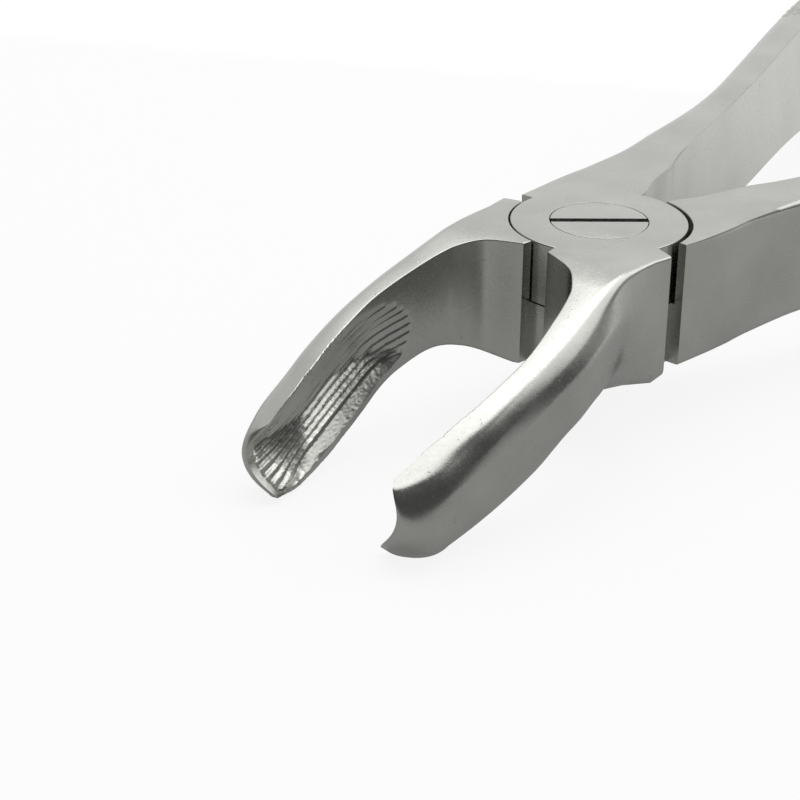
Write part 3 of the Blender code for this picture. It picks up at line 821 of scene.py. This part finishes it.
back = np.array([
    math.cos(AZIMUTH) * math.cos(ELEVATION), math.sin(AZIMUTH) * math.cos(ELEVATION), math.sin(ELEVATION)])
level = np.array([-math.sin(AZIMUTH), math.cos(AZIMUTH), 0.0])
upright = np.cross(back, level)
right = math.cos(ROLL) * level + math.sin(ROLL) * upright
up = -math.sin(ROLL) * level + math.cos(ROLL) * upright
distance = FOCAL_PIXELS / PIXELS_PER_METRE
half = IMAGE_PIXELS / 2
aside = (PIVOT_PIXEL[0] - half) / PIXELS_PER_METRE
above = -(PIVOT_PIXEL[1] - half) / PIXELS_PER_METRE
eye = distance * back - aside * right - above * up + np.array([0.0, 0.0, JOINT_THICKNESS])
camera_data = bpy.data.cameras.new("camera")
camera_data.sensor_width = SENSOR_WIDTH
camera_data.lens = FOCAL_PIXELS / IMAGE_PIXELS * SENSOR_WIDTH
camera_data.clip_start = 0.005
camera_data.clip_end = 20.0
camera = bpy.data.objects.new("camera", camera_data)
camera.matrix_world = Matrix((
    (right[0], up[0], back[0], eye[0]),
    (right[1], up[1], back[1], eye[1]),
    (right[2], up[2], back[2], eye[2]),
    (0.0, 0.0, 0.0, 1.0)))
bpy.context.scene.collection.objects.link(camera)
bpy.context.scene.camera = camera

# Light: a broad white backdrop behind and above the forceps, dimming towards the near side of the room
BACKDROP_AZIMUTH = 210.0
BACKDROP_ELEVATION = 25.0
BACKDROP_EDGES = (0.10, 0.90)
BACKDROP_LEVEL = 0.90
ROOM_LEVEL = 0.09
LIGHT_REACH = 0.6


def toward(azimuth, elevation):
    """Unit vector in a direction given in degrees."""
    a = math.radians(azimuth)
    e = math.radians(elevation)
    return Vector((math.cos(a) * math.cos(e), math.sin(a) * math.cos(e), math.sin(e)))


# Floor, with painted shade in the glow that metal reflects from it
FLOOR_SIZE = 3.0
FLOOR_SEEN = 0.88
FLOOR_MIRRORED = 0.75
FLOOR_PAINTED_SHADE_LEVELS = (0.36, 1.05)
FLOOR_PAINTED_SHADE_SPAN = (0.0, 0.10)
bm = bmesh.new()
bmesh.ops.create_grid(bm, x_segments=1, y_segments=1, size=FLOOR_SIZE)
floor_mesh = bpy.data.meshes.new("floor")
bm.to_mesh(floor_mesh)
bm.free()
floor = bpy.data.objects.new("floor", floor_mesh)
floor.location.z = cad_box[0][2]
bpy.context.scene.collection.objects.link(floor)
m = Nodes(bpy.data.materials.new("floor"))
m.shader.inputs["Base Color"].default_value = (0.93, 0.93, 0.93, 1.0)
m.shader.inputs["Roughness"].default_value = 0.9
path = m.add("ShaderNodeLightPath").outputs
mirrored = m.math("MAXIMUM", path["Is Glossy Ray"], path["Is Transmission Ray"])
seen = m.math("MULTIPLY", path["Is Camera Ray"], FLOOR_SEEN)
# Painted shade: in reflections the floor glows dimmer towards the near side, rising to full white towards the
# backdrop
behind = m.add("ShaderNodeVectorMath", operation="DOT_PRODUCT")
m.link(m.place["Object"], behind.inputs[0])
behind.inputs[1].default_value = toward(BACKDROP_AZIMUTH, 0.0)
painted_floor_shade = m.ranged(behind.outputs["Value"], *FLOOR_PAINTED_SHADE_SPAN, *FLOOR_PAINTED_SHADE_LEVELS, "SMOOTHSTEP")
glow = m.add("ShaderNodeEmission")
m.link(m.math("MAXIMUM", painted_floor_shade, path["Is Camera Ray"]), glow.inputs["Strength"])
blend = m.add("ShaderNodeMixShader")
m.link(m.math("MAXIMUM", seen, m.math("MULTIPLY", mirrored, FLOOR_MIRRORED)), blend.inputs["Fac"])
m.link(m.shader.outputs["BSDF"], blend.inputs[1])
m.link(glow.outputs["Emission"], blend.inputs[2])
m.link(blend.outputs["Shader"], m.tree.nodes["Material Output"].inputs["Surface"])
floor.data.materials.append(m.owner)

world = bpy.data.worlds.new("studio")
bpy.context.scene.world = world
w = Nodes(world)
facing = w.add("ShaderNodeVectorMath", operation="DOT_PRODUCT")
w.link(w.place["Generated"], facing.inputs[0])
facing.inputs[1].default_value = toward(BACKDROP_AZIMUTH, BACKDROP_ELEVATION)
level = w.ranged(facing.outputs["Value"], *BACKDROP_EDGES, ROOM_LEVEL, BACKDROP_LEVEL, "SMOOTHSTEP")
path = w.add("ShaderNodeLightPath").outputs
w.link(w.math("MAXIMUM", level, path["Is Camera Ray"]), w.shader.inputs["Strength"])
w.shader.inputs["Color"].default_value = (1.0, 1.0, 1.0, 1.0)


def area_light(name, azimuth, elevation, size, power):
    """A square soft light that faces the joint from a direction given in degrees."""
    data = bpy.data.lights.new(name, "AREA")
    data.size = size
    data.energy = power
    light = bpy.data.objects.new(name, data)
    direction = toward(azimuth, elevation)
    light.location = direction * LIGHT_REACH
    light.rotation_euler = direction.to_track_quat("Z", "Y").to_euler()
    bpy.context.scene.collection.objects.link(light)


area_light("overhead", 235.0, 75.0, 0.48, 1.34)
area_light("side", 140.0, 51.0, 0.58, 1.10)

scene = bpy.context.scene
scene.view_settings.view_transform = "Standard"
